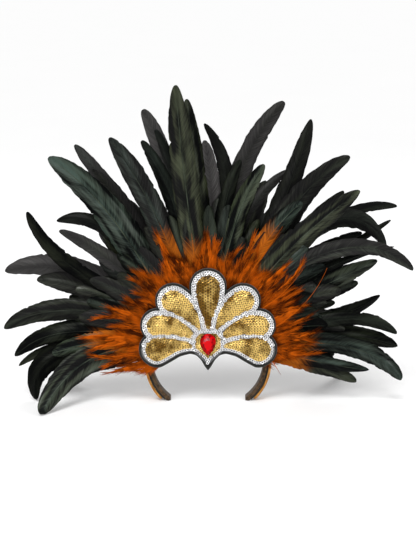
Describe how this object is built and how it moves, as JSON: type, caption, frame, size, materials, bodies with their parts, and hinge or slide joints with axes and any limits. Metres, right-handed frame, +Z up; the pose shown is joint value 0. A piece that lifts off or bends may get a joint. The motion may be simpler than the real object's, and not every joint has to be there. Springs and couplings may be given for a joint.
{
  "type": "feathered headdress",
  "caption": "Headband carrying a scalloped sequined fan plaque with a red pear stone, orange hackles and long dark coque feathers fanned out behind it.",
  "frame": {"origin": "on the surface that the headdress stands on, under the middle of its bounding box", "axes": "+X across the fan to the right as seen from the front, +Y to the back, +Z up"},
  "size_m": [0.4578, 0.1566, 0.3544],
  "materials": {
    "gold_shell": "polished copper gold",
    "black_felt": "black felt with a rolled edge",
    "brown_ribbon": "ribbed brown grosgrain over padding",
    "silver_sequin": "metallised silver sequins",
    "gold_sequin": "metallised gold cup sequins",
    "red_stone": "faceted foil-backed stone",
    "orange_hackle": "soft orange rooster hackle",
    "dark_coque": "near-black iridescent coque feather with an orange base"
  },
  "bodies": {
    "root": {"band_shell": "gold_shell", "band_core": "black_felt", "band_lining": "brown_ribbon", "plaque_board": "black_felt", "silver_border": "silver_sequin", "gem_field": "gold_sequin", "petal_gold_1": "gold_sequin", "petal_gold_2": "gold_sequin", "petal_gold_3": "gold_sequin", "petal_gold_4": "gold_sequin", "petal_gold_5": "gold_sequin", "petal_gold_6": "gold_sequin", "petal_gold_7": "gold_sequin", "gem": "red_stone", "hackle_orange": "orange_hackle", "coque_front": "dark_coque", "coque_middle": "dark_coque", "coque_rear": "dark_coque", "coque_back": "dark_coque"}
  },
  "joints": []
}
